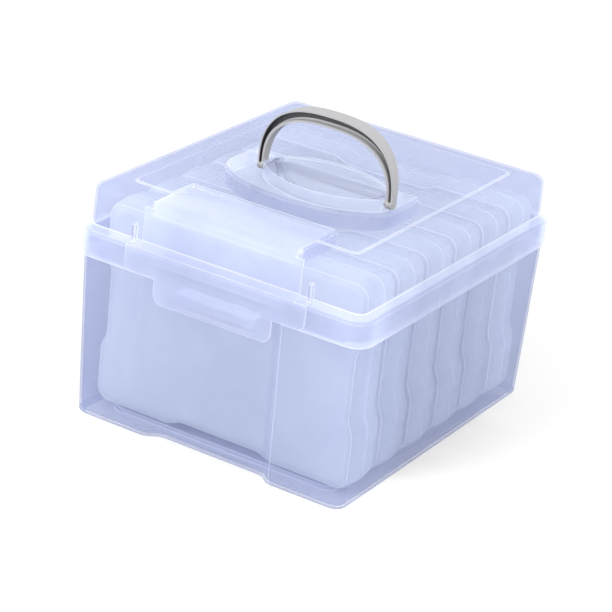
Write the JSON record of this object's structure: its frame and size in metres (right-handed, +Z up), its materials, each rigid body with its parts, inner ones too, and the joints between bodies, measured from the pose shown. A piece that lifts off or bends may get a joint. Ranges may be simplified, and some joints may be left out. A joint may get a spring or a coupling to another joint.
{
  "type": "photo keeper case",
  "caption": "Clear carrying case with a hinged lid, front latch and folding handle, holding slim hinged picture cases that stand on edge.",
  "frame": {"origin": "on the surface the case stands on, under the middle of the whole", "axes": "+X along the front to the right, -Y the latch side, +Y the hinge side, +Z up"},
  "size_m": [0.212, 0.256, 0.2019],
  "materials": {
    "clear_shell": "satin translucent polypropylene",
    "clear_latch": "satin translucent polypropylene",
    "inner_case": "glossy translucent polypropylene",
    "handle_grey": "smooth moulded light grey"
  },
  "bodies": {
    "outer_base": {"outer_base": "clear_shell"},
    "outer_lid": {"outer_lid": "clear_shell"},
    "front_latch": {"front_latch": "clear_latch"},
    "carry_handle": {"carry_handle": "handle_grey"},
    "inner_case_1": {"inner_base_1": "inner_case"},
    "inner_case_lid_1": {"inner_lid_1": "inner_case"},
    "inner_case_2": {"inner_base_2": "inner_case"},
    "inner_case_lid_2": {"inner_lid_2": "inner_case"},
    "inner_case_3": {"inner_base_3": "inner_case"},
    "inner_case_lid_3": {"inner_lid_3": "inner_case"},
    "inner_case_4": {"inner_base_4": "inner_case"},
    "inner_case_lid_4": {"inner_lid_4": "inner_case"},
    "inner_case_5": {"inner_base_5": "inner_case"},
    "inner_case_lid_5": {"inner_lid_5": "inner_case"},
    "inner_case_6": {"inner_base_6": "inner_case"},
    "inner_case_lid_6": {"inner_lid_6": "inner_case"}
  },
  "joints": [
    {"name": "lid_hinge", "type": "hinge", "parent": "outer_base", "child": "outer_lid", "pos_m": [0, 0.1238, 0.1068], "axis": [-1, 0, 0], "range_deg": [0, 110]},
    {"name": "latch_hinge", "type": "hinge", "parent": "outer_lid", "child": "front_latch", "pos_m": [0, -0.0832, 0.15525], "axis": [-1, 0, 0], "range_deg": [0, 90]},
    {"name": "handle_swing", "type": "hinge", "parent": "outer_lid", "child": "carry_handle", "pos_m": [0, -0.00425, 0.1554], "axis": [1, 0, 0], "range_deg": [0, 90]},
    {"name": "inner_case_1_lift", "type": "slide", "parent": "outer_base", "child": "inner_case_1", "axis": [0, 0, 1], "range_m": [0, 0.003]},
    {"name": "inner_case_1_lid_hinge", "type": "hinge", "parent": "inner_case_1", "child": "inner_case_lid_1", "pos_m": [0, -0.08925, 0.0064], "axis": [1, 0, 0], "range_deg": [0, 0.6]},
    {"name": "inner_case_2_lift", "type": "slide", "parent": "outer_base", "child": "inner_case_2", "axis": [0, 0, 1], "range_m": [0, 0.003]},
    {"name": "inner_case_2_lid_hinge", "type": "hinge", "parent": "inner_case_2", "child": "inner_case_lid_2", "pos_m": [0, -0.05325, 0.0064], "axis": [1, 0, 0], "range_deg": [0, 0.6]},
    {"name": "inner_case_3_lift", "type": "slide", "parent": "outer_base", "child": "inner_case_3", "axis": [0, 0, 1], "range_m": [0, 0.003]},
    {"name": "inner_case_3_lid_hinge", "type": "hinge", "parent": "inner_case_3", "child": "inner_case_lid_3", "pos_m": [0, -0.01725, 0.0064], "axis": [1, 0, 0], "range_deg": [0, 0.6]},
    {"name": "inner_case_4_lift", "type": "slide", "parent": "outer_base", "child": "inner_case_4", "axis": [0, 0, 1], "range_m": [0, 0.003]},
    {"name": "inner_case_4_lid_hinge", "type": "hinge", "parent": "inner_case_4", "child": "inner_case_lid_4", "pos_m": [0, 0.01875, 0.0064], "axis": [1, 0, 0], "range_deg": [0, 0.6]},
    {"name": "inner_case_5_lift", "type": "slide", "parent": "outer_base", "child": "inner_case_5", "axis": [0, 0, 1], "range_m": [0, 0.01]},
    {"name": "inner_case_5_lid_hinge", "type": "hinge", "parent": "inner_case_5", "child": "inner_case_lid_5", "pos_m": [0, 0.05475, 0.0064], "axis": [1, 0, 0], "range_deg": [0, 0.6]},
    {"name": "inner_case_6_lift", "type": "slide", "parent": "outer_base", "child": "inner_case_6", "axis": [0, 0, 1], "range_m": [0, 0.01]},
    {"name": "inner_case_6_lid_hinge", "type": "hinge", "parent": "inner_case_6", "child": "inner_case_lid_6", "pos_m": [0, 0.09075, 0.0064], "axis": [1, 0, 0], "range_deg": [0, 0.6]}
  ]
}
